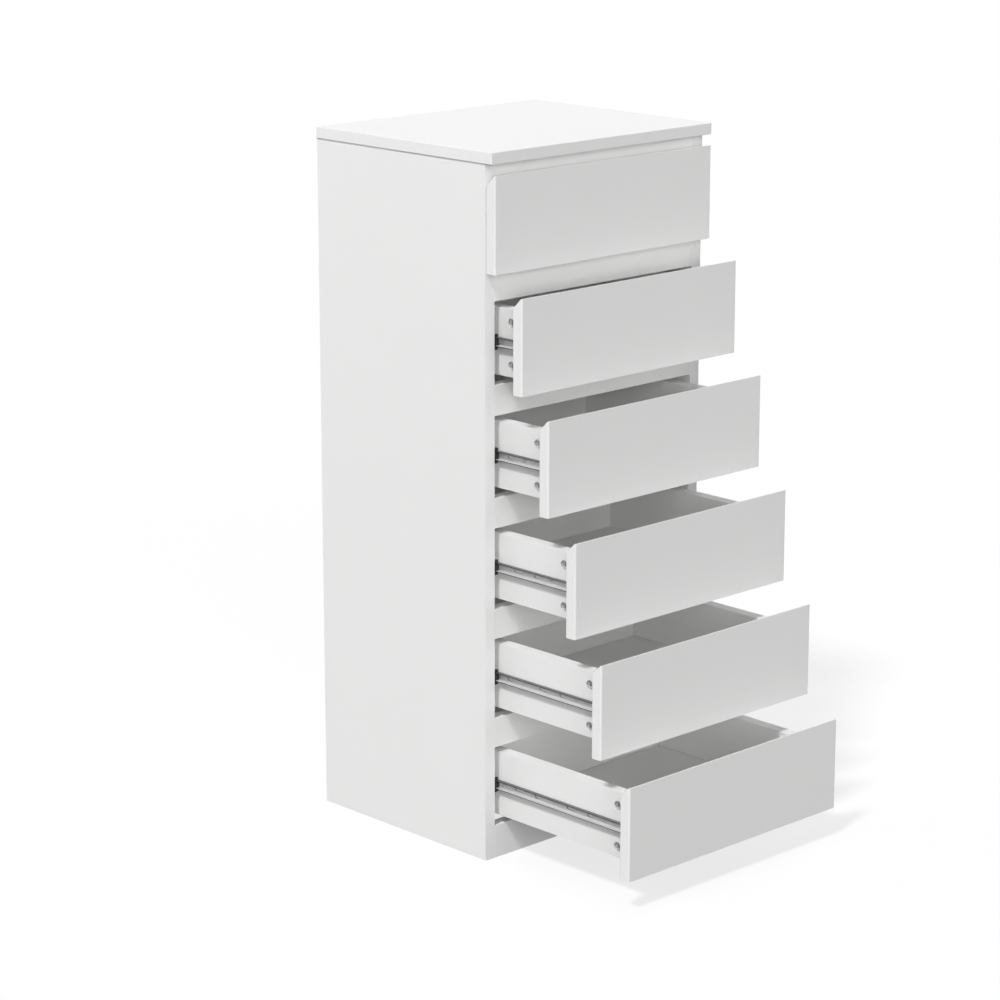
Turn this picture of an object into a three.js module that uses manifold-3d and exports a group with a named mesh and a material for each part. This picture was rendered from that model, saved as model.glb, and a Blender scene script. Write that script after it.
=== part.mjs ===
import * as THREE from 'three';
import { mergeVertices } from 'three/addons/utils/BufferGeometryUtils.js';
import Module from 'manifold-3d';

// A tall, narrow chest of six drawers in white board, its drawers pulled out in even steps.
// Millimetres, +Z up. The front faces -Y, and +X is to the right of someone facing it.
// The origin is on the floor, at the centre of the plinth rail's underside.

// Stock
const BOARD = 20; // carcass sides, rails and every drawer board
const TOP_THICKNESS = 18;
const HARDBOARD = 3; // back panel and drawer bottoms
const FIT_GAP = 0.3; // left between pieces that touch

// Carcass
const CARCASS_WIDTH = 476;
const CARCASS_DEPTH = 382.5;
const CARCASS_HEIGHT = 1102;
const TOP_SIDE_OVERHANG = 2;
const TOP_FRONT_OVERHANG = 17.5;
const FRONT_PLANE = -BOARD / 2;
const BACK_PLANE = FRONT_PLANE + CARCASS_DEPTH;
const INNER_HALF = CARCASS_WIDTH / 2 - BOARD;

// Back panel, slid into a groove in each side
const BACK_INSET = 10; // from the rear edge to the groove
const BACK_GROOVE_DEPTH = 8;
const GROOVE_WIDTH = HARDBOARD + 2 * FIT_GAP;
const BACK_PANEL_Y = BACK_PLANE - BACK_INSET - FIT_GAP - HARDBOARD; // its front face

// Drawer openings, one above the other between the rails
const DRAWER_COUNT = 6;
const PLINTH_HEIGHT = 54;
const OPENING_HEIGHT = 129;
const RAIL_HEIGHT = 48;
const PITCH = OPENING_HEIGHT + RAIL_HEIGHT;
const TOP_RAIL_Z = PLINTH_HEIGHT + DRAWER_COUNT * PITCH - RAIL_HEIGHT;
const REST_OPENINGS = [0, 58, 115, 173, 229, 290]; // how far each is pulled out, from the top

// Drawer fronts
const FRONT_WIDTH = 474;
const FRONT_HEIGHT = 149;
const FRONT_DROP = 3; // below the opening's lower edge
const FRONT_CLOSED_GAP = 0.5; // to the carcass, when closed
const FRONT_CORNER_RADIUS = 3;
const FINGER_BEVEL = 18; // 45 degree slope that leaves a thin top edge

// Drawer box
const BOX_HALF_WIDTH = 205; // to the outer face of a side
const BOX_LENGTH = 337;
const BOX_SIDE_HEIGHT = 105;
const BOX_LIFT = 14; // above the opening's lower edge
const BOTTOM_LIFT = 13; // from a side's lower edge to the bottom panel's underside
const DRAWER_GROOVE_DEPTH = 6; // in the sides and the front

// Blind bores for cam locks
const CAM_RADIUS = 7.5;
const CAM_DEPTH = 12.5;
const CAM_SIDES = 24;
const CAM_FROM_JOINT = 35; // from the joint that the lock pulls together
const CAM_FROM_UPPER_EDGE = 22; // of a drawer side
const CAM_FROM_LOWER_EDGE = 17;
const TOP_CAM_FROM_EDGE = 60; // from the front and rear edges of a side panel

// Two-part ball runners
const RUNNER_Z = BOX_LIFT + BOX_SIDE_HEIGHT / 2; // above the opening's lower edge
const STEEL = 1.2;
const CABINET_RUNNER = { height: 27, depth: 9, length: 350, lip: 2.3, setback: 4 };
const DRAWER_RUNNER = { height: 15, depth: 9.5, length: 330, lip: 0, setback: 4 };

const wasm = await Module();
wasm.setup();

const melamine = () => new THREE.MeshStandardMaterial({ color: 0xf3f3f1, roughness: 0.45, metalness: 0 });
const hardboard = () => new THREE.MeshStandardMaterial({ color: 0xeeeeea, roughness: 0.6, metalness: 0 });
const zincSteel = () => new THREE.MeshStandardMaterial({ color: 0xb9bbbd, roughness: 0.35, metalness: 1 });

const X = new THREE.Vector3(1, 0, 0);
const Y = new THREE.Vector3(0, 1, 0);
const Z = new THREE.Vector3(0, 0, 1);

function outline(points) {
  return new THREE.Shape(points.map(([u, v]) => new THREE.Vector2(u, v)));
}

function extrude(shape, length) {
  return new THREE.ExtrudeGeometry(shape, { depth: length, bevelEnabled: false, curveSegments: 4 });
}

// A Y-Z section drawn along X, centred on X = 0
function alongX(shape, length) {
  const geometry = extrude(shape, length);
  geometry.applyMatrix4(new THREE.Matrix4().makeBasis(Y, Z, X));
  return geometry.translate(-length / 2, 0, 0);
}

// An X-Z section drawn along Y, starting at Y = 0
function alongY(shape, length) {
  const geometry = extrude(shape, length);
  geometry.applyMatrix4(new THREE.Matrix4().makeBasis(X, Z, Y.clone().negate()));
  return geometry.translate(0, length, 0);
}

// A box given by its lowest and highest corners
function block([x0, y0, z0], [x1, y1, z1]) {
  const geometry = new THREE.BoxGeometry(x1 - x0, y1 - y0, z1 - z0);
  return geometry.translate((x0 + x1) / 2, (y0 + y1) / 2, (z0 + z1) / 2);
}

function toSolid(geometry) {
  const bare = geometry.clone();
  bare.deleteAttribute('normal');
  bare.deleteAttribute('uv');
  const merged = mergeVertices(bare);
  return new wasm.Manifold(new wasm.Mesh({
    numProp: 3,
    vertProperties: new Float32Array(merged.attributes.position.array),
    triVerts: new Uint32Array(merged.index.array),
  }));
}

function toGeometry(solid) {
  const mesh = solid.getMesh();
  const geometry = new THREE.BufferGeometry();
  geometry.setAttribute('position', new THREE.BufferAttribute(mesh.vertProperties, 3));
  geometry.setIndex(new THREE.BufferAttribute(mesh.triVerts, 1));
  geometry.computeVertexNormals();
  return geometry;
}

// Cuts cam lock bores. Each has its mouth on a face of the board and runs along inward.
function bored(geometry, bores) {
  const overshoot = 1; // of the cutter, outside the face
  const length = CAM_DEPTH + overshoot;
  let solid = toSolid(geometry);
  for (const { mouth, inward } of bores) {
    const cutter = new THREE.CylinderGeometry(CAM_RADIUS, CAM_RADIUS, length, CAM_SIDES);
    cutter.applyQuaternion(new THREE.Quaternion().setFromUnitVectors(Y, inward));
    const centre = new THREE.Vector3(...mouth).addScaledVector(inward, length / 2 - overshoot);
    cutter.translate(centre.x, centre.y, centre.z);
    solid = solid.subtract(toSolid(cutter));
  }
  return toGeometry(solid);
}

function piece(name, geometry, material) {
  const mesh = new THREE.Mesh(geometry, material);
  mesh.name = name;
  return mesh;
}

// Carcass side: a panel with the back panel's groove in its inner face, and the bores of two
// cam locks that hold the top. side is -1 or 1.
function sidePanel(name, side) {
  const inner = side * INNER_HALF;
  const outer = side * CARCASS_WIDTH / 2;
  const grooveFloor = inner + side * BACK_GROOVE_DEPTH;
  const grooveBack = BACK_PLANE - BACK_INSET;
  const section = outline([
    [outer, FRONT_PLANE],
    [inner, FRONT_PLANE],
    [inner, grooveBack - GROOVE_WIDTH],
    [grooveFloor, grooveBack - GROOVE_WIDTH],
    [grooveFloor, grooveBack],
    [inner, grooveBack],
    [inner, BACK_PLANE],
    [outer, BACK_PLANE],
  ]);
  const inward = X.clone().multiplyScalar(side);
  const camZ = CARCASS_HEIGHT - CAM_FROM_JOINT;
  const bores = [FRONT_PLANE + TOP_CAM_FROM_EDGE, BACK_PLANE - TOP_CAM_FROM_EDGE]
    .map((y) => ({ mouth: [inner, y, camZ], inward }));
  return piece(name, bored(extrude(section, CARCASS_HEIGHT - FIT_GAP), bores), melamine());
}

function topPanel() {
  const half = CARCASS_WIDTH / 2 + TOP_SIDE_OVERHANG;
  const low = [-half, FRONT_PLANE - TOP_FRONT_OVERHANG, CARCASS_HEIGHT];
  const high = [half, BACK_PLANE, CARCASS_HEIGHT + TOP_THICKNESS];
  return piece('top_panel', block(low, high), melamine());
}

function backPanel() {
  const half = INNER_HALF + BACK_GROOVE_DEPTH - FIT_GAP;
  const low = [-half, BACK_PANEL_Y, FIT_GAP];
  const high = [half, BACK_PANEL_Y + HARDBOARD, CARCASS_HEIGHT - FIT_GAP];
  return piece('back_panel', block(low, high), hardboard());
}

// A board on edge between the two sides, with a cam lock's bore near each end of its rear face
function rail(name, y, z, height) {
  const half = INNER_HALF - FIT_GAP;
  const board = block([-half, y, z], [half, y + BOARD, z + height]);
  const camX = INNER_HALF - CAM_FROM_JOINT;
  const bores = [-camX, camX]
    .map((x) => ({ mouth: [x, y + BOARD, z + height / 2], inward: Y.clone().negate() }));
  return piece(name, bored(board, bores), melamine());
}

// Steel C-channel whose web stands at X = 0 and whose flanges reach out along side * X
function channel(runner, side) {
  const { height, depth, lip } = runner;
  const half = height / 2;
  const upper = [[0, half], [depth, half]];
  if (lip > 0) {
    upper.push([depth, half - lip], [depth - STEEL, half - lip]);
    upper.push([depth - STEEL, half - STEEL], [STEEL, half - STEEL]);
  } else {
    upper.push([depth, half - STEEL], [STEEL, half - STEEL]);
  }
  const lower = upper.map(([u, v]) => [u, -v]).reverse();
  const points = upper.concat(lower).map(([u, v]) => [side * u, v]);
  return alongY(outline(points), runner.length);
}

function cabinetRunner(name, side, openingZ) {
  const mesh = piece(name, channel(CABINET_RUNNER, -side), zincSteel());
  const web = side * (INNER_HALF - FIT_GAP);
  mesh.position.set(web, FRONT_PLANE + CABINET_RUNNER.setback, openingZ + RUNNER_Z);
  return mesh;
}

// The drawer's own pieces: Y = 0 is the back face of the front, Z = 0 the opening's lower edge.

function drawerFront(name) {
  const top = FRONT_HEIGHT - FRONT_DROP;
  const section = outline([
    [-BOARD, -FRONT_DROP],
    [0, -FRONT_DROP],
    [0, top - FINGER_BEVEL],
    [-FINGER_BEVEL, top],
    [-BOARD, top],
  ]);
  const half = FRONT_WIDTH / 2;
  const r = FRONT_CORNER_RADIUS;
  const plan = new THREE.Shape();
  plan.moveTo(-half + r, -BOARD);
  plan.lineTo(half - r, -BOARD);
  plan.absarc(half - r, -BOARD + r, r, -Math.PI / 2, 0);
  plan.absarc(half - r, -r, r, 0, Math.PI / 2);
  plan.lineTo(-half + r, 0);
  plan.absarc(-half + r, -r, r, Math.PI / 2, Math.PI);
  plan.absarc(-half + r, -BOARD + r, r, Math.PI, 1.5 * Math.PI);
  const tall = extrude(plan, FRONT_HEIGHT).translate(0, 0, -FRONT_DROP);
  const grooveHalf = BOX_HALF_WIDTH - BOARD + DRAWER_GROOVE_DEPTH;
  const grooveLow = BOX_LIFT + BOTTOM_LIFT - FIT_GAP;
  const groove = block(
    [-grooveHalf, -DRAWER_GROOVE_DEPTH, grooveLow],
    [grooveHalf, BOARD, grooveLow + GROOVE_WIDTH],
  );
  const solid = toSolid(alongX(section, FRONT_WIDTH)).intersect(toSolid(tall)).subtract(toSolid(groove));
  return piece(name, toGeometry(solid), melamine());
}

function drawerSide(name, side) {
  const outer = side * BOX_HALF_WIDTH;
  const inner = side * (BOX_HALF_WIDTH - BOARD);
  const grooveFloor = inner + side * DRAWER_GROOVE_DEPTH;
  const grooveLow = BOX_LIFT + BOTTOM_LIFT - FIT_GAP;
  const top = BOX_LIFT + BOX_SIDE_HEIGHT;
  const section = outline([
    [outer, BOX_LIFT],
    [outer, top],
    [inner, top],
    [inner, grooveLow + GROOVE_WIDTH],
    [grooveFloor, grooveLow + GROOVE_WIDTH],
    [grooveFloor, grooveLow],
    [inner, grooveLow],
    [inner, BOX_LIFT],
  ]);
  const board = alongY(section, BOX_LENGTH - FIT_GAP).translate(0, FIT_GAP, 0);
  const inward = X.clone().multiplyScalar(-side);
  const bores = [BOX_LIFT + CAM_FROM_LOWER_EDGE, top - CAM_FROM_UPPER_EDGE]
    .map((z) => ({ mouth: [outer, CAM_FROM_JOINT, z], inward }));
  return piece(name, bored(board, bores), melamine());
}

// The back board stands on the bottom panel, which runs forward into the front's groove.
function drawerBackAndBottom(name) {
  const panelHalf = BOX_HALF_WIDTH - BOARD + DRAWER_GROOVE_DEPTH - FIT_GAP;
  const backHalf = BOX_HALF_WIDTH - BOARD - FIT_GAP;
  const panelZ = BOX_LIFT + BOTTOM_LIFT;
  const panel = block(
    [-panelHalf, FIT_GAP - DRAWER_GROOVE_DEPTH, panelZ],
    [panelHalf, BOX_LENGTH, panelZ + HARDBOARD],
  );
  const back = block(
    [-backHalf, BOX_LENGTH - BOARD, panelZ + HARDBOARD],
    [backHalf, BOX_LENGTH, BOX_LIFT + BOX_SIDE_HEIGHT],
  );
  return piece(name, toGeometry(toSolid(panel).add(toSolid(back))), melamine());
}

function drawerRunner(name, side) {
  const mesh = piece(name, channel(DRAWER_RUNNER, side), zincSteel());
  mesh.position.set(side * (BOX_HALF_WIDTH + FIT_GAP), DRAWER_RUNNER.setback, RUNNER_Z);
  return mesh;
}

function drawer(number, openingZ) {
  const group = new THREE.Group();
  const prefix = `drawer_${number}`;
  group.add(
    drawerFront(`${prefix}_front`),
    drawerSide(`${prefix}_left_side`, -1),
    drawerSide(`${prefix}_right_side`, 1),
    drawerBackAndBottom(`${prefix}_back_and_bottom`),
    drawerRunner(`${prefix}_left_runner`, -1),
    drawerRunner(`${prefix}_right_runner`, 1),
  );
  group.position.set(0, FRONT_PLANE - FRONT_CLOSED_GAP - REST_OPENINGS[number - 1], openingZ);
  return group;
}

function carcass() {
  const group = new THREE.Group();
  group.add(sidePanel('left_side_panel', -1), sidePanel('right_side_panel', 1), topPanel(), backPanel());
  group.add(rail('plinth_rail', FRONT_PLANE, 0, PLINTH_HEIGHT));
  group.add(rail('rear_stretcher', BACK_PANEL_Y - FIT_GAP - BOARD, 0, PLINTH_HEIGHT));
  for (let number = 1; number < DRAWER_COUNT; number += 1) {
    const z = TOP_RAIL_Z - number * PITCH;
    group.add(rail(`divider_rail_${number}`, FRONT_PLANE, z, RAIL_HEIGHT));
  }
  group.add(rail('top_rail', FRONT_PLANE, TOP_RAIL_Z, CARCASS_HEIGHT - FIT_GAP - TOP_RAIL_Z));
  return group;
}

const chest = new THREE.Group();
chest.add(carcass());
for (let number = 1; number <= DRAWER_COUNT; number += 1) {
  const openingZ = PLINTH_HEIGHT + (DRAWER_COUNT - number) * PITCH;
  chest.add(cabinetRunner(`cabinet_runner_${number}_left`, -1, openingZ));
  chest.add(cabinetRunner(`cabinet_runner_${number}_right`, 1, openingZ));
  chest.add(drawer(number, openingZ));
}

export default chest;
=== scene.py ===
import math

import bmesh
import bpy
from mathutils import Matrix, Vector


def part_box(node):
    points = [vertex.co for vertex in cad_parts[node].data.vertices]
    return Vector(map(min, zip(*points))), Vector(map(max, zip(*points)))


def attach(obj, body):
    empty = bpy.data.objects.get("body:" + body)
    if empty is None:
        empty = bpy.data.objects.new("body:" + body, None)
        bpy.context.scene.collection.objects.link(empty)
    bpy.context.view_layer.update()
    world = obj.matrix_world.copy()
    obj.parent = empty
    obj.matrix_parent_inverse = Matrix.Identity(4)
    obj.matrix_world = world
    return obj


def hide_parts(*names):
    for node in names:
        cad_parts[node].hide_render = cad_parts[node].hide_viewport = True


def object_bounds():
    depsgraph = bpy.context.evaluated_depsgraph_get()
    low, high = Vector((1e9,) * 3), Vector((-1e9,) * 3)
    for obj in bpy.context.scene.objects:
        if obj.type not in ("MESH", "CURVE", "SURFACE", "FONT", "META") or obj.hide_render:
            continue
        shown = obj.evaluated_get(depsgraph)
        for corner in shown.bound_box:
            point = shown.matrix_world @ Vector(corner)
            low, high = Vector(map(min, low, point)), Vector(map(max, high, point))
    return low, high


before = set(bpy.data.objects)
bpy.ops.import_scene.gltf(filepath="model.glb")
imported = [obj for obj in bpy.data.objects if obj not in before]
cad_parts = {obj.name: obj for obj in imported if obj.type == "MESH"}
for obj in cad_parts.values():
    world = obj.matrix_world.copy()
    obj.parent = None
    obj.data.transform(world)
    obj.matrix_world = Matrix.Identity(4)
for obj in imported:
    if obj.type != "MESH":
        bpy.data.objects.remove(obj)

CAD_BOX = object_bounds()
MM = 0.001

# Drawers, numbered from the top, each a body of its own, and the two sides of the chest
DRAWERS = range(1, 7)
SIDES = (("left", -1), ("right", 1))

# Camera and studio
CAMERA_AZIMUTH = -43.76      # degrees, 0 looks along +Y
CAMERA_ELEVATION = 14.53
CAMERA_DISTANCE = 5.0
CAMERA_LENS = 113.4          # mm
CAMERA_SENSOR = 36.0         # mm
CAMERA_AIM = Vector((-0.0918, 0.1099, 0.5376))
SKY_STRENGTH = 0.15
DIFFUSE_BOUNCES = 10
FLOOR_RADIUS = 60.0
FLOOR_GLOW = 0.74            # keeps the floor's shadows pale

# Distant lamps: azimuth, elevation and size across in degrees, and strength
LAMPS = {
    "key": (-73.0, 54.5, 8.0, 2.19),
    "front_fill": (-26.0, 9.0, 48.0, 1.99),
    "rear_left_fill": (-145.0, 15.0, 50.0, 1.08),
    "rear_fill": (172.0, 8.0, 40.0, 0.90),
    "rear_right_fill": (136.0, 14.0, 40.0, 0.35),
    "right_fill": (92.0, 8.0, 40.0, 1.30),
}

# Boards
EDGE_EASING = 0.7 * MM       # rounding of a banded board's edges
HARDBOARD_EASING = 0.25 * MM
EASING_SEGMENTS = 3
EASED_FROM_ANGLE = 30.0      # degrees between two faces
FLAT_WITHIN_ANGLE = 0.5      # degrees, below which two faces are one
SHARP_FROM_ANGLE = 35.0      # for pieces that are made here
MERGE_DISTANCE = 0.01 * MM
HARDBOARD_THICKNESS = 3 * MM
FIT_GAP = 0.3 * MM           # round a drawer's back board

# Pressed steel slides. A member's web lies against its board, and its flanges stand out from it.
SHEET = 1.2 * MM
CUT_EDGE_SHADE_INDEX = 1                  # material indices of the sheet's cut edges, near black as painted shade, and the ball tracks
TRACK_INDEX = 2
DRAWER_BEND = 3.3 * MM
CABINET_BEND = 1.6 * MM
CABINET_LIP = 1.3 * MM
BALL_RADIUS = 2.7 * MM
GROOVE_FROM_WEB = 7.4 * MM     # middle of the ball groove in the drawer member's flanges
GROOVE_HALF_WIDTH = 2.9 * MM
GROOVE_DEPTH = 0.85 * MM
SCREWS_PER_SLIDE = 3
SCREW_FIRST = 58 * MM          # first screw, from the front end of a slide member
SCREW_PITCH = 114 * MM
SCREW_HEAD_RADIUS = 3.2 * MM
SCREW_HEAD_HEIGHT = 1.3 * MM

# Holes and slots punched in the slides' webs
DRAWER_HOLE = 4.6 * MM         # height of a hole in the drawer member and in the cabinet member
CABINET_HOLE = 7.0 * MM
END_HOLE_FROM_END = 12 * MM
SLOT_FROM_END = 30 * MM        # least distance from a slot's middle to the rear end

# A slot's place after a screw, in screw pitches, then its length and height, in hole heights
SHORT_SLOT = (0.27, 2.2, 1.0)
LONG_SLOT = (0.62, 4.0, 0.8)

# Ball cages
CAGE_LENGTH = 25 * MM
CAGE_FRONT = 0.4 * MM          # from the carcass's front plane back to the cage
CAGE_GAP = 0.4 * MM            # between the cage and both members' flanges
CAGE_WEB_GAP = 0.2 * MM
CAGE_GUIDE_GAP = 0.3 * MM
CAGE_ARM = 4.4 * MM            # reach of the arms past the drawer member's flange tips
CAGE_GUIDE = 6.2 * MM
BALLS_PER_ROW = 3
BALL_PITCH = 7.5 * MM
BALL_GAP = 0.05 * MM

# Cam locks
CAM_RADIUS = 7.2 * MM
CAM_RECESS = 1.4 * MM          # from the board's face down to the rim
CAM_HEIGHT = 11.0 * MM
CAM_CHAMFER = 0.5 * MM
CAM_RIM = 1.7 * MM
CAM_DISH = 0.9 * MM            # from the rim down to the dish inside it
CAM_CROSS_HALF_WIDTH = 1.15 * MM
CAM_CROSS_DEPTH = 4.2 * MM
CAM_FROM_JOINT = 35 * MM
CAM_FROM_UPPER_EDGE = 22 * MM  # of a drawer side
CAM_FROM_LOWER_EDGE = 17 * MM
TOP_CAM_FROM_EDGE = 60 * MM
CAM_CUTTER_MARGIN = 0.2 * MM   # from the cross's cutter to the rim around it, and above the rim
CAM_STEPS = 40                 # sides of its round outline

# Cross recess of a screw: arm and half width in head radii, cutter's top and depth in head heights
RECESS_ARM, RECESS_HALF_WIDTH = 0.62, 0.17
RECESS_TOP, RECESS_DEPTH = 1.2, 0.9
RECESS_TAPER = 0.45            # a cross cutter's width at the bottom, as a share of that at the top

# Nails and screws
HEAD_STEPS = 20                # sides of a head's round outline
NAIL_RADIUS = 2.6 * MM
NAIL_HEIGHT = 0.7 * MM
BACK_NAILS = 5
BACK_NAIL_FROM_END = 30 * MM
BOTTOM_NAIL_PLACES = (-120 * MM, 0.0, 120 * MM)
BOX_SCREW_RADIUS = 3.6 * MM
BOX_SCREW_HEIGHT = 0.6 * MM
BOX_SCREW_FROM_BOTTOM = 31 * MM
BOX_SCREW_FROM_TOP = 22 * MM


# ---------------------------------------------------------------- materials

class Nodes:
    """A short way to write a material's node tree."""

    def __init__(self, name):
        self.material = bpy.data.materials.new(name)
        self.material.use_nodes = True
        self.tree = self.material.node_tree
        self.shader = self.tree.nodes["Principled BSDF"]
        self.place = self.add("ShaderNodeTexCoord").outputs["Object"]

    def add(self, kind, **settings):
        node = self.tree.nodes.new(kind)
        for key, value in settings.items():
            setattr(node, key, value)
        return node

    def link(self, source, target):
        self.tree.links.new(source, target)

    def noise(self, scale, detail=3.0, roughness=0.5, stretch=None):
        texture = self.add("ShaderNodeTexNoise")
        texture.inputs["Scale"].default_value = scale
        texture.inputs["Detail"].default_value = detail
        texture.inputs["Roughness"].default_value = roughness
        source = self.place
        if stretch is not None:
            mapping = self.add("ShaderNodeMapping")
            mapping.inputs["Scale"].default_value = stretch
            self.link(self.place, mapping.inputs["Vector"])
            source = mapping.outputs["Vector"]
        self.link(source, texture.inputs["Vector"])
        return texture.outputs["Fac"]

    def remap(self, value, low, high):
        node = self.add("ShaderNodeMapRange")
        node.inputs["To Min"].default_value = low
        node.inputs["To Max"].default_value = high
        self.link(value, node.inputs["Value"])
        return node.outputs["Result"]

    def mix(self, factor, first, second):
        node = self.add("ShaderNodeMix", data_type="RGBA")
        for socket, value in (("A", first), ("B", second)):
            target = next(s for s in node.inputs if s.name == socket and s.type == "RGBA")
            if isinstance(value, tuple):
                target.default_value = (*value, 1.0)
            else:
                self.link(value, target)
        factor_input = next(s for s in node.inputs if s.name == "Factor" and s.type == "VALUE")
        self.link(factor, factor_input)
        return next(s for s in node.outputs if s.type == "RGBA")

    def bump(self, height, strength, distance):
        node = self.add("ShaderNodeBump")
        node.inputs["Strength"].default_value = strength
        node.inputs["Distance"].default_value = distance
        self.link(height, node.inputs["Height"])
        return node.outputs["Normal"]

    def finish(self, color, roughness, normal=None, metallic=0.0, **settings):
        inputs = self.shader.inputs
        self.link(color, inputs["Base Color"])
        self.link(roughness, inputs["Roughness"])
        inputs["Metallic"].default_value = metallic
        if normal is not None:
            self.link(normal, inputs["Normal"])
        for key, value in settings.items():
            inputs[key.replace("_", " ")].default_value = value
        return self.material


def melamine():
    """White melamine foil: a faint print mottle and a fine pearl texture."""
    n = Nodes("white_melamine")
    mottle = n.noise(9.0, detail=4.0)
    color = n.mix(n.remap(mottle, 0.2, 0.8), (0.845, 0.845, 0.84), (0.872, 0.872, 0.868))
    pearl = n.noise(1400.0, detail=2.0, roughness=0.7)
    roughness = n.remap(n.noise(60.0), 0.36, 0.46)
    normal = n.bump(pearl, 0.12, 0.00004)
    return n.finish(color, roughness, normal)


def hardboard():
    """White painted hardboard: the fine mesh of its fibres shows through the paint."""
    n = Nodes("white_hardboard")
    fibres = n.noise(420.0, detail=5.0, roughness=0.65)
    color = n.mix(n.remap(fibres, 0.0, 1.0), (0.80, 0.80, 0.79), (0.86, 0.86, 0.855))
    roughness = n.remap(fibres, 0.55, 0.7)
    normal = n.bump(fibres, 0.3, 0.00012)
    return n.finish(color, roughness, normal)


def zinc_steel():
    """Bright zinc on cold rolled steel, with faint lines along the rolling direction."""
    n = Nodes("zinc_steel")
    lines = n.noise(220.0, detail=4.0, stretch=(6.0, 0.15, 6.0))
    bloom = n.noise(70.0, detail=3.0)
    color = n.mix(n.remap(bloom, 0.3, 0.9), (0.58, 0.583, 0.586), (0.66, 0.663, 0.666))
    roughness = n.remap(lines, 0.36, 0.48)
    normal = n.bump(lines, 0.06, 0.00004)
    return n.finish(color, roughness, normal, metallic=0.2)


def cut_edge_painted_shade():
    """Cut edges of the sheet, where the zinc is missing; their near-black colour is painted shade, for the
    dark lines along the flange tips and round the slots.
    """
    n = Nodes("cut_edge_painted_shade")
    stain = n.noise(260.0, detail=4.0)
    # Near black: painted shade for the dark lines along the flange tips and round the slots
    color = n.mix(stain, (0.015, 0.015, 0.016), (0.045, 0.045, 0.046))
    return n.finish(color, n.remap(stain, 0.5, 0.65), metallic=0.3)


def ball_track():
    """The side of the drawer member that the balls run on, burnished and dark with grease."""
    n = Nodes("ball_track")
    grease = n.noise(150.0, detail=4.0, stretch=(4.0, 0.4, 4.0))
    color = n.mix(grease, (0.12, 0.12, 0.122), (0.20, 0.20, 0.203))
    return n.finish(color, n.remap(grease, 0.3, 0.5), metallic=0.3)


def cast_zinc():
    """Nickel-bright die cast zinc of the cam locks, with a fine cast grain."""
    n = Nodes("cast_zinc")
    grain = n.noise(1800.0, detail=3.0)
    color = n.mix(n.noise(300.0), (0.64, 0.64, 0.635), (0.74, 0.74, 0.735))
    roughness = n.remap(grain, 0.38, 0.52)
    normal = n.bump(grain, 0.25, 0.00006)
    return n.finish(color, roughness, normal, metallic=1.0)


def ball_steel():
    """Polished chrome steel."""
    n = Nodes("ball_steel")
    haze = n.noise(900.0)
    color = n.mix(haze, (0.74, 0.75, 0.76), (0.82, 0.83, 0.84))
    return n.finish(color, n.remap(haze, 0.08, 0.16), metallic=1.0)


def black_plastic_and_shade():
    """Moulded black acetal, slightly speckled. On the ball cages it also stands for the deep shade inside
    the runners' channels, as painted shade.
    """
    n = Nodes("black_plastic_and_shade")
    speckle = n.noise(900.0, detail=4.0)
    color = n.mix(speckle, (0.012, 0.012, 0.013), (0.03, 0.03, 0.031))
    normal = n.bump(speckle, 0.15, 0.00005)
    return n.finish(color, n.remap(speckle, 0.4, 0.55), normal)


def studio_floor():
    """Plain pale floor with the faintest unevenness."""
    n = Nodes("studio_floor")
    color = n.mix(n.noise(0.8), (0.245, 0.245, 0.245), (0.255, 0.255, 0.255))
    glow = n.shader.inputs
    glow["Emission Color"].default_value = (1.0, 1.0, 1.0, 1.0)
    glow["Emission Strength"].default_value = FLOOR_GLOW
    return n.finish(color, n.remap(n.noise(2.0), 0.85, 0.95), Specular_IOR_Level=0.0)


MELAMINE = melamine()
HARDBOARD = hardboard()
STEEL = zinc_steel()
CUT_EDGE_PAINTED_SHADE = cut_edge_painted_shade()
BALL_TRACK = ball_track()
CAST_ZINC = cast_zinc()
BALL_STEEL = ball_steel()
BLACK_PLASTIC_AND_SHADE = black_plastic_and_shade()


# ---------------------------------------------------------------- mesh helpers

def mesh_from(bm, name, material):
    """Turns bm into a mesh, smooth except where faces meet at SHARP_FROM_ANGLE or more."""
    bmesh.ops.recalc_face_normals(bm, faces=bm.faces)
    limit = math.radians(SHARP_FROM_ANGLE)
    for face in bm.faces:
        face.smooth = True
    for edge in bm.edges:
        edge.smooth = not edge.is_manifold or edge.calc_face_angle() < limit
    mesh = bpy.data.meshes.new(name)
    bm.to_mesh(mesh)
    bm.free()
    mesh.materials.append(material)
    return mesh


def place(name, mesh, body, at=(0.0, 0.0, 0.0), turn=None):
    """A piece that shows mesh and rides on body."""
    piece = bpy.data.objects.new(name, mesh)
    bpy.context.scene.collection.objects.link(piece)
    matrix = Matrix.Translation(at)
    if turn is not None:
        matrix = matrix @ turn.to_matrix().to_4x4()
    piece.matrix_world = matrix
    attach(piece, body)
    return piece


def add_easing(piece, width):
    """Rounds a board's edges. Flat stretches are first merged into whole faces."""
    weld = piece.modifiers.new("merge", "WELD")
    weld.merge_threshold = MERGE_DISTANCE
    flat = piece.modifiers.new("flat_faces", "DECIMATE")
    flat.decimate_type = "DISSOLVE"
    flat.angle_limit = math.radians(FLAT_WITHIN_ANGLE)
    bevel = piece.modifiers.new("easing", "BEVEL")
    bevel.width = width
    bevel.segments = EASING_SEGMENTS
    bevel.limit_method = "ANGLE"
    bevel.angle_limit = math.radians(EASED_FROM_ANGLE)
    bevel.harden_normals = False
    normals = piece.modifiers.new("normals", "WEIGHTED_NORMAL")
    normals.keep_sharp = True


def cad_board(node, material, easing=EDGE_EASING):
    """Gives a CAD board its material and eased edges."""
    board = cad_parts[node]
    board.data.materials.clear()
    board.data.materials.append(material)
    board.data.polygons.foreach_set("use_smooth", [True] * len(board.data.polygons))
    add_easing(board, easing)


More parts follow.
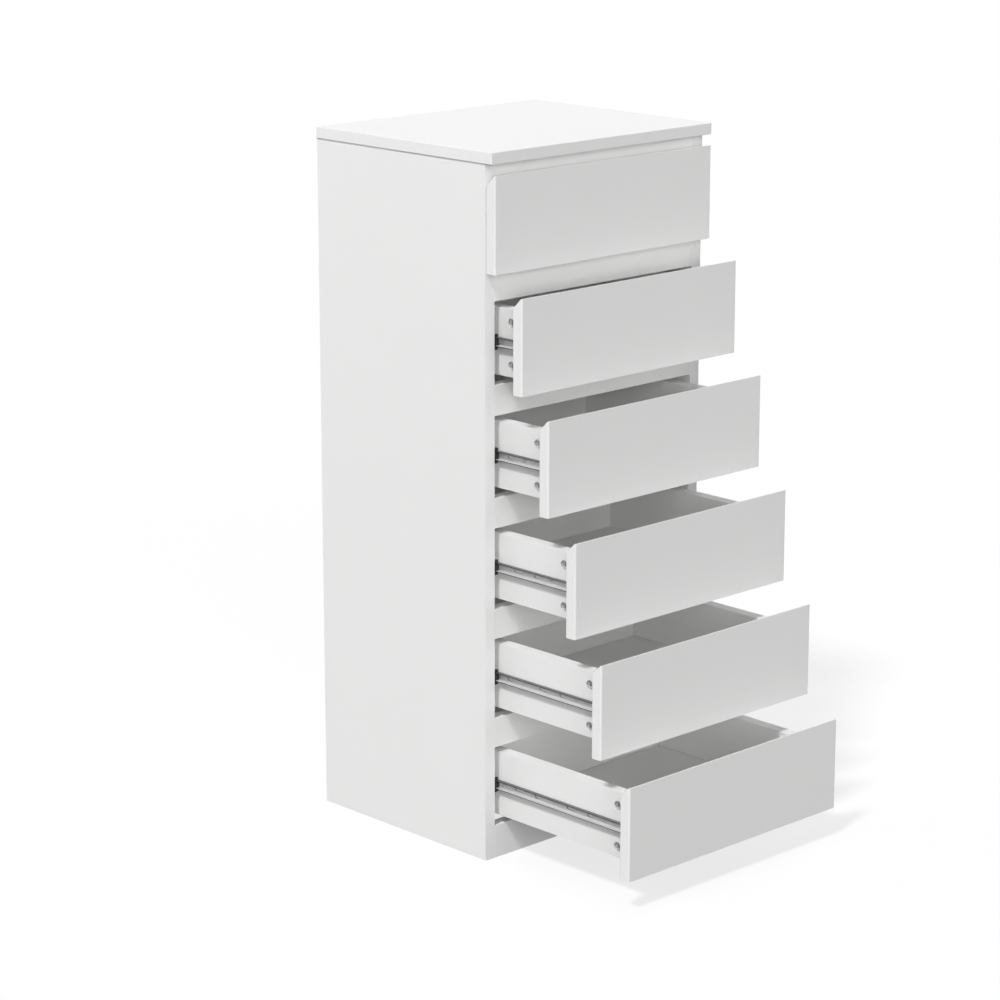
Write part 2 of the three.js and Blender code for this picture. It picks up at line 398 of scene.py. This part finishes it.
def block_mesh(name, low, high, material):
    """A plain board between two corners, to be eased by add_easing."""
    bm = bmesh.new()
    bmesh.ops.create_cube(bm, size=1.0)
    low, high = Vector(low), Vector(high)
    for vertex in bm.verts:
        share = vertex.co + Vector((0.5, 0.5, 0.5))
        vertex.co = Vector(low[i] + share[i] * (high[i] - low[i]) for i in range(3))
    return mesh_from(bm, name, material)


def prism(bm, outline, y0, y1):
    """A closed X-Z outline drawn from y0 to y1. Returns the faces along it, in its order."""
    near = [bm.verts.new((x, y0, z)) for x, z in outline]
    far = [bm.verts.new((x, y1, z)) for x, z in outline]
    bm.faces.new(near)
    bm.faces.new(reversed(far))
    sides = []
    for i in range(len(outline)):
        j = (i + 1) % len(outline)
        sides.append(bm.faces.new((near[i], far[i], far[j], near[j])))
    return sides


def lathe(bm, profile, steps):
    """Turns a profile of (radius, height) points, which starts and ends on the axis, round Z."""
    rings = []
    for radius, height in profile:
        if radius == 0.0:
            rings.append([bm.verts.new((0.0, 0.0, height))])
            continue
        angles = [2 * math.pi * i / steps for i in range(steps)]
        circle = [(radius * math.cos(a), radius * math.sin(a), height) for a in angles]
        rings.append([bm.verts.new(point) for point in circle])
    for lower, upper in zip(rings, rings[1:]):
        for i in range(steps):
            j = (i + 1) % steps
            if len(lower) == 1:
                bm.faces.new((lower[0], upper[j], upper[i]))
            elif len(upper) == 1:
                bm.faces.new((lower[i], lower[j], upper[0]))
            else:
                bm.faces.new((lower[i], lower[j], upper[j], upper[i]))


def cut(mesh, cutters, name):
    """The mesh with the cutters' solids taken out of it."""
    body = bpy.data.objects.new("cut_body", mesh)
    tool_mesh = bpy.data.meshes.new("cut_tools")
    cutters.to_mesh(tool_mesh)
    cutters.free()
    tool = bpy.data.objects.new("cut_tool", tool_mesh)
    for thing in (body, tool):
        bpy.context.scene.collection.objects.link(thing)
    boolean = body.modifiers.new("cut", "BOOLEAN")
    boolean.operation = "DIFFERENCE"
    boolean.solver = "EXACT"
    boolean.object = tool
    view = bpy.context.evaluated_depsgraph_get()
    result = bpy.data.meshes.new_from_object(body.evaluated_get(view))
    result.name = name
    for thing in (body, tool):
        bpy.data.objects.remove(thing)
    return result


# ---------------------------------------------------------------- boards

def dress_boards():
    """Materials and eased edges for every board that comes straight from the CAD frame."""
    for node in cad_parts:
        if "runner" in node or node.endswith("back_and_bottom"):
            continue
        if node == "back_panel":
            cad_board(node, HARDBOARD, HARDBOARD_EASING)
        else:
            cad_board(node, MELAMINE)


def split_backs_and_bottoms():
    """Each drawer's back board and bottom panel, as two pieces that replace one CAD node."""
    for number in DRAWERS:
        body = f"drawer_{number}"
        node = f"{body}_back_and_bottom"
        low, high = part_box(node)
        side_low, side_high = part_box(f"{body}_left_side")
        inner = -side_high.x - FIT_GAP
        board = side_high.x - side_low.x
        panel_top = low.z + HARDBOARD_THICKNESS
        back = block_mesh(
            f"{body}_back_board",
            (-inner, high.y - board, panel_top + FIT_GAP),
            (inner, high.y, high.z),
            MELAMINE,
        )
        panel = block_mesh(f"{body}_bottom_panel", low, (high.x, high.y, panel_top), HARDBOARD)
        for mesh, slot, easing in (
            (back, "white_melamine", EDGE_EASING),
            (panel, "hardboard", HARDBOARD_EASING),
        ):
            piece = place(mesh.name, mesh, body)
            add_easing(piece, easing)
            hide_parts(node)


# ---------------------------------------------------------------- ball runners

def offset_outline(path, thickness):
    """The closed outline of sheet metal whose middle follows path."""
    left, right = [], []
    for i, point in enumerate(path):
        here = Vector(point)
        before = here - Vector(path[i - 1]) if i > 0 else None
        after = Vector(path[i + 1]) - here if i < len(path) - 1 else None
        directions = [d.normalized() for d in (before, after) if d is not None]
        normals = [Vector((-d.y, d.x)) for d in directions]
        normal = sum(normals, Vector((0.0, 0.0))).normalized()
        reach = thickness / 2 / normal.dot(normals[0])
        left.append(here + normal * reach)
        right.append(here - normal * reach)
    return left + right[::-1]


def arc(centre, radius, start, end, steps):
    """Points on an arc, with angles in degrees."""
    cx, cz = centre
    angles = [math.radians(start + (end - start) * i / steps) for i in range(steps + 1)]
    return [(cx + radius * math.cos(a), cz + radius * math.sin(a)) for a in angles]


def drawer_member_path(depth, height):
    """Middle line of the drawer member: a channel with a ball groove along each flange."""
    top = height / 2 - SHEET / 2
    tip = depth - SHEET / 2
    steps = 8
    upper = []
    for i in range(steps + 1):
        u = tip + (GROOVE_FROM_WEB - GROOVE_HALF_WIDTH - tip) * i / steps
        across = (u - GROOVE_FROM_WEB) / GROOVE_HALF_WIDTH * math.pi / 2
        upper.append((u, top - GROOVE_DEPTH * math.cos(across) ** 2))
    upper += arc((SHEET / 2 + DRAWER_BEND, top - DRAWER_BEND), DRAWER_BEND, 90, 180, 6)
    return upper + [(u, -v) for u, v in reversed(upper)]


def cabinet_member_path(depth, height):
    """Middle line of the cabinet member: a wider channel with lips that hold the balls."""
    top = height / 2 - SHEET / 2
    tip = depth - SHEET / 2
    upper = [(tip, top - CABINET_BEND - CABINET_LIP)]
    upper += arc((tip - CABINET_BEND, top - CABINET_BEND), CABINET_BEND, 0, 90, 5)
    upper += arc((SHEET / 2 + CABINET_BEND, top - CABINET_BEND), CABINET_BEND, 90, 180, 5)
    return upper + [(u, -v) for u, v in reversed(upper)]


def slot_cutter(bm, y, length, height, reach):
    """A rounded slot through the web, its long side along Y, which leaves cut edges in near-black painted
    shade.
    """
    r = height / 2
    straight = max(0.0, length / 2 - r)
    outline = arc((y + straight, 0.0), r, -90, 90, 8) + arc((y - straight, 0.0), r, 90, 270, 8)
    near = [bm.verts.new((-reach, v, w)) for v, w in outline]
    far = [bm.verts.new((reach, v, w)) for v, w in outline]
    bm.faces.new(near)
    bm.faces.new(reversed(far))
    for i in range(len(outline)):
        j = (i + 1) % len(outline)
        wall = bm.faces.new((near[i], far[i], far[j], near[j]))
        wall.material_index = CUT_EDGE_SHADE_INDEX
    bmesh.ops.recalc_face_normals(bm, faces=bm.faces)


def slide_mesh(name, path, side, length, slots, track):
    """A pressed steel channel from Y = 0 to length, its web at X = 0, with slots in the web.

    The outer side of a member with a track is dark from the balls.
    """
    outline = [(side * u, v) for u, v in offset_outline(path, SHEET)]
    bm = bmesh.new()
    faces = prism(bm, outline, 0.0, length)
    if track:
        for outer in faces[len(path):]:
            outer.material_index = TRACK_INDEX
    # Flange tips take the near-black cut edge colour: painted shade for the dark lines along them
    for tip in (faces[len(path) - 1], faces[-1]):
        tip.material_index = CUT_EDGE_SHADE_INDEX
    solid = mesh_from(bm, name + "_plain", STEEL)
    solid.materials.append(CUT_EDGE_PAINTED_SHADE)
    solid.materials.append(BALL_TRACK)
    cutters = bmesh.new()
    for y, long, tall in slots:
        slot_cutter(cutters, y, long, tall, SHEET * 2)
    return cut(solid, cutters, name)


def cross_cutter(bm, arm, half_width, top, depth):
    """A cross that tapers downwards, for a cross recess."""
    rings = []
    for height, share in ((top, 1.0), (top - depth, RECESS_TAPER)):
        a, w = arm * share, half_width * share
        outline = [(a, -w), (a, w), (w, w), (w, a), (-w, a), (-w, w)]
        outline += [(-x, -y) for x, y in outline]
        rings.append([bm.verts.new((x, y, height)) for x, y in outline])
    upper, lower = rings
    bm.faces.new(upper)
    bm.faces.new(reversed(lower))
    for i in range(len(upper)):
        j = (i + 1) % len(upper)
        bm.faces.new((upper[i], lower[i], lower[j], upper[j]))


def screw_mesh(name, radius, height):
    """A screw head with a cross recess, facing +Z and standing on Z = 0."""
    r, h = radius, height
    bm = bmesh.new()
    profile = [(0.0, 0.0), (r, 0.0), (r, h * 0.35), (r * 0.85, h * 0.75), (r * 0.55, h), (0.0, h)]
    lathe(bm, profile, HEAD_STEPS)
    solid = mesh_from(bm, name + "_plain", STEEL)
    recess = bmesh.new()
    cross_cutter(recess, r * RECESS_ARM, r * RECESS_HALF_WIDTH, h * RECESS_TOP, h * RECESS_DEPTH)
    return cut(solid, recess, name)


def turn_towards(direction):
    """Rotation that takes +Z to direction."""
    return Vector((0.0, 0.0, 1.0)).rotation_difference(Vector(direction))


def slide_slots(length, tall):
    """A round hole near each end and a short and a long slot after each screw, as (y, length, height)."""
    holes = [(y, tall, tall) for y in (END_HOLE_FROM_END, length - END_HOLE_FROM_END)]
    for place_after, slot_length, slot_height in (SHORT_SLOT, LONG_SLOT):
        for i in range(SCREWS_PER_SLIDE):
            y = SCREW_FIRST + SCREW_PITCH * (i + place_after)
            if y < length - SLOT_FROM_END:
                holes.append((y, tall * slot_length, tall * slot_height))
    return holes


def cage_mesh(side, web, flange_tip, flange_top, inner_top):
    """A plastic ball cage: a plate with an arm above and below the drawer member and a guide between. The
    guide fills the drawer member's channel, and its black there is partly painted shade.

    The outline's lengths are measured from the cabinet member's web, towards the drawer.
    """
    tip = web - flange_tip
    plate = tip - CAGE_GAP
    low = flange_top + CAGE_GAP
    high = inner_top - CAGE_GAP
    guide = flange_top - SHEET - GROOVE_DEPTH - CAGE_GUIDE_GAP
    upper = [(CAGE_WEB_GAP, high), (tip + CAGE_ARM, high), (tip + CAGE_ARM, low), (plate, low)]
    upper += [(plate, guide), (tip + CAGE_GUIDE, guide)]
    outline = [(-side * u, v) for u, v in upper + [(u, -v) for u, v in reversed(upper)]]
    bm = bmesh.new()
    prism(bm, outline, 0.0, CAGE_LENGTH)
    return mesh_from(bm, "ball_cage", BLACK_PLASTIC_AND_SHADE)


def build_runners():
    """Both members of each ball runner, with their screws, cage and balls."""
    screw = screw_mesh("slide_screw", SCREW_HEAD_RADIUS, SCREW_HEAD_HEIGHT)
    members = {}
    for side_name, side in SIDES:
        for kind, node, member_path, out, tall in (
            ("drawer", f"drawer_1_{side_name}_runner", drawer_member_path, side, DRAWER_HOLE),
            ("carcass", f"cabinet_runner_1_{side_name}", cabinet_member_path, -side, CABINET_HOLE),
        ):
            low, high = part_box(node)
            length = high.y - low.y
            path = member_path(high.x - low.x, high.z - low.z)
            name = f"{kind}_slide_{side_name}"
            slots = slide_slots(length, tall)
            members[kind, side] = slide_mesh(name, path, out, length, slots, kind == "drawer")
    for number in DRAWERS:
        for side_name, side in SIDES:
            body = f"drawer_{number}"
            build_slide(members["drawer", side], screw, f"{body}_{side_name}_slide", body,
                        f"{body}_{side_name}_runner", side)
            build_slide(members["carcass", side], screw, f"carcass_slide_{number}_{side_name}", "root",
                        f"cabinet_runner_{number}_{side_name}", -side)
            build_cage(number, side_name, side)


def build_slide(mesh, screw, name, body, node, out):
    """One slide member with its screws, in place of its CAD node. Its flanges point to out, -1 or 1 in X."""
    low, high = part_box(node)
    web = low.x if out > 0 else high.x
    middle = (low.z + high.z) / 2
    piece = place(name, mesh, body, (web, low.y, middle))
    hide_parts(node)
    for i in range(SCREWS_PER_SLIDE):
        spot = (web + out * SHEET, low.y + SCREW_FIRST + SCREW_PITCH * i, middle)
        place(f"{name}_screw_{i + 1}", screw, body, spot, turn_towards((out, 0.0, 0.0)))


def build_cage(number, side_name, side):
    """The ball cage between the two members, at the carcass's front edge, with its balls. Its black at that
    edge also gives painted shade to the runner's channel.
    """
    low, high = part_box(f"cabinet_runner_{number}_{side_name}")
    inner_low, inner_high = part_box(f"drawer_{number}_{side_name}_runner")
    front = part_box("left_side_panel")[0].y + CAGE_FRONT
    middle = (low.z + high.z) / 2
    web = abs(high.x if side > 0 else low.x) - SHEET
    flange_tip = max(abs(inner_low.x), abs(inner_high.x))
    inner_web = min(abs(inner_low.x), abs(inner_high.x))
    flange_top = (inner_high.z - inner_low.z) / 2
    inner_top = (high.z - low.z) / 2 - SHEET
    mesh = cage_mesh(side, web, flange_tip, flange_top, inner_top)
    place(f"carcass_slide_{number}_{side_name}_cage", mesh, "root", at=(side * web, front, middle))
    for label, up in (("upper", 1), ("lower", -1)):
        bm = bmesh.new()
        for i in range(BALLS_PER_ROW):
            spot = (0.0, (i - (BALLS_PER_ROW - 1) / 2) * BALL_PITCH, 0.0)
            bmesh.ops.create_uvsphere(bm, u_segments=20, v_segments=12, radius=BALL_RADIUS,
                                      matrix=Matrix.Translation(spot))
        balls = mesh_from(bm, "balls", BALL_STEEL)
        at = (side * (inner_web + GROOVE_FROM_WEB), front + CAGE_LENGTH / 2,
              middle + up * (inner_top - BALL_RADIUS - BALL_GAP))
        place(f"carcass_slide_{number}_{side_name}_{label}_balls", balls, "root", at)


# ---------------------------------------------------------------- cam locks

def cam_mesh():
    """A cam lock seen from its slotted end, facing +Z, its rim at Z = 0."""
    r, h, c = CAM_RADIUS, CAM_HEIGHT, CAM_CHAMFER
    rim = r - CAM_RIM
    bm = bmesh.new()
    profile = [(0.0, -h), (r - c, -h), (r, -h + c), (r, -c), (r - c, 0.0)]
    profile += [(rim, 0.0), (rim - c, -CAM_DISH), (0.0, -CAM_DISH)]
    lathe(bm, profile, CAM_STEPS)
    solid = mesh_from(bm, "cam_plain", CAST_ZINC)
    recess = bmesh.new()
    arm = rim - CAM_CUTTER_MARGIN
    cross_cutter(recess, arm, CAM_CROSS_HALF_WIDTH, CAM_CUTTER_MARGIN, CAM_CROSS_DEPTH)
    return cut(solid, recess, "cam_lock")


def build_cam_locks():
    """Cam locks in the drawer sides, in the rails' rear faces and under the top."""
    cam = cam_mesh()
    for number in DRAWERS:
        body = f"drawer_{number}"
        for side_name, side in SIDES:
            low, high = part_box(f"{body}_{side_name}_side")
            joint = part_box(f"{body}_front")[1].y
            face = (high.x if side > 0 else low.x) - side * CAM_RECESS
            turn = turn_towards((side, 0.0, 0.0))
            heights = (("lower", low.z + CAM_FROM_LOWER_EDGE), ("upper", high.z - CAM_FROM_UPPER_EDGE))
            for label, z in heights:
                name = f"{body}_{side_name}_{label}_cam"
                place(name, cam, body, (face, joint + CAM_FROM_JOINT, z), turn)
    rails = [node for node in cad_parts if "rail" in node or node == "rear_stretcher"]
    inner = -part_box("left_side_panel")[1].x
    backward = turn_towards((0.0, 1.0, 0.0))
    for rail in sorted(rails):
        low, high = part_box(rail)
        for side_name, side in SIDES:
            spot = (side * (inner - CAM_FROM_JOINT), high.y - CAM_RECESS, (low.z + high.z) / 2)
            place(f"{rail}_{side_name}_cam", cam, "root", spot, backward)
    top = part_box("top_panel")[0].z
    for side_name, side in SIDES:
        low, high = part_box(f"{side_name}_side_panel")
        inward = turn_towards((-side, 0.0, 0.0))
        for label, y in (("front", low.y + TOP_CAM_FROM_EDGE), ("rear", high.y - TOP_CAM_FROM_EDGE)):
            spot = (side * (inner + CAM_RECESS), y, top - CAM_FROM_JOINT)
            place(f"{side_name}_panel_{label}_cam", cam, "root", spot, inward)


# ---------------------------------------------------------------- nails and screws

def nail_mesh():
    """The domed head of a nail, facing +Z."""
    bm = bmesh.new()
    r, h = NAIL_RADIUS, NAIL_HEIGHT
    profile = [(0.0, 0.0), (r, 0.0), (r, h * 0.4), (r * 0.8, h * 0.8), (r * 0.4, h), (0.0, h)]
    lathe(bm, profile, HEAD_STEPS)
    return mesh_from(bm, "panel_nail", STEEL)


def build_back_nails(nail):
    """Nails through the back panel into the rear stretcher."""
    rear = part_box("back_panel")[1].y
    low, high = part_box("rear_stretcher")
    reach = high.x - BACK_NAIL_FROM_END
    backward = turn_towards((0.0, 1.0, 0.0))
    for i in range(BACK_NAILS):
        x = reach * (2 * i / (BACK_NAILS - 1) - 1)
        spot = (x, rear, (low.z + high.z) / 2)
        place(f"back_panel_nail_{i + 1}", nail, "root", spot, backward)


def build_box_fasteners(number, nail, screw):
    """Nails under a drawer's bottom panel and screws through its sides, all into its back board."""
    body = f"drawer_{number}"
    low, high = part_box(f"{body}_back_and_bottom")
    side_low, side_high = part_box(f"{body}_left_side")
    board_middle = high.y - (side_high.x - side_low.x) / 2
    downward = turn_towards((0.0, 0.0, -1.0))
    for i, x in enumerate(BOTTOM_NAIL_PLACES):
        spot = (x, board_middle, low.z)
        place(f"{body}_bottom_nail_{i + 1}", nail, body, spot, downward)
    lower = side_low.z + BOX_SCREW_FROM_BOTTOM
    upper = side_high.z - BOX_SCREW_FROM_TOP
    for side_name, side in SIDES:
        for label, z in (("lower", lower), ("upper", upper)):
            name = f"{body}_{side_name}_{label}_rear_screw"
            spot = (-side * side_low.x, board_middle, z)
            place(name, screw, body, spot, turn_towards((side, 0.0, 0.0)))


def build_nails_and_screws():
    """All nails and screws outside the slides."""
    nail = nail_mesh()
    screw = screw_mesh("box_screw", BOX_SCREW_RADIUS, BOX_SCREW_HEIGHT)
    build_back_nails(nail)
    for number in DRAWERS:
        build_box_fasteners(number, nail, screw)


# ---------------------------------------------------------------- studio

def build_floor():
    """A wide pale floor that adds no light to the chest and isn't mirrored in it."""
    bm = bmesh.new()
    bmesh.ops.create_circle(bm, cap_ends=True, segments=64, radius=FLOOR_RADIUS)
    floor = bpy.data.objects.new("studio_floor", mesh_from(bm, "studio_floor", studio_floor()))
    bpy.context.scene.collection.objects.link(floor)
    floor.location.z = CAD_BOX[0].z
    floor.visible_diffuse = False
    floor.visible_glossy = False


def build_lights():
    """An even weak sky and the distant lamps."""
    world = bpy.data.worlds.new("studio")
    world.use_nodes = True
    background = world.node_tree.nodes["Background"]
    background.inputs["Color"].default_value = (1.0, 1.0, 1.0, 1.0)
    background.inputs["Strength"].default_value = SKY_STRENGTH
    bpy.context.scene.world = world
    for name, (azimuth, elevation, size, strength) in LAMPS.items():
        light = bpy.data.lights.new(name, "SUN")
        light.energy = strength
        light.angle = math.radians(size)
        lamp = bpy.data.objects.new(name, light)
        bpy.context.scene.collection.objects.link(lamp)
        lamp.rotation_mode = "QUATERNION"
        lamp.rotation_quaternion = turn_towards(direction_from(azimuth, elevation))


def direction_from(azimuth, elevation):
    """Unit vector towards a place seen at that azimuth and elevation from the chest."""
    a, e = math.radians(azimuth), math.radians(elevation)
    return Vector((math.sin(a) * math.cos(e), -math.cos(a) * math.cos(e), math.sin(e)))


def build_camera():
    """The photo's camera."""
    data = bpy.data.cameras.new("camera")
    data.lens = CAMERA_LENS
    data.sensor_width = CAMERA_SENSOR
    camera = bpy.data.objects.new("camera", data)
    bpy.context.scene.collection.objects.link(camera)
    back = direction_from(CAMERA_AZIMUTH, CAMERA_ELEVATION)
    camera.location = CAMERA_AIM + back * CAMERA_DISTANCE
    camera.rotation_mode = "QUATERNION"
    camera.rotation_quaternion = (-back).to_track_quat("-Z", "Y")
    bpy.context.scene.camera = camera


def set_light_paths():
    """White boards hand light on to each other many times, deep inside the drawers too."""
    bpy.context.scene.cycles.diffuse_bounces = DIFFUSE_BOUNCES


def set_colour_management():
    """Shows the rendered colours as they are, without a film look."""
    view = bpy.context.scene.view_settings
    view.view_transform = "Standard"
    view.look = "None"


build_camera()
build_lights()
build_floor()
set_light_paths()
set_colour_management()
dress_boards()
split_backs_and_bottoms()
build_runners()
build_cam_locks()
build_nails_and_screws()
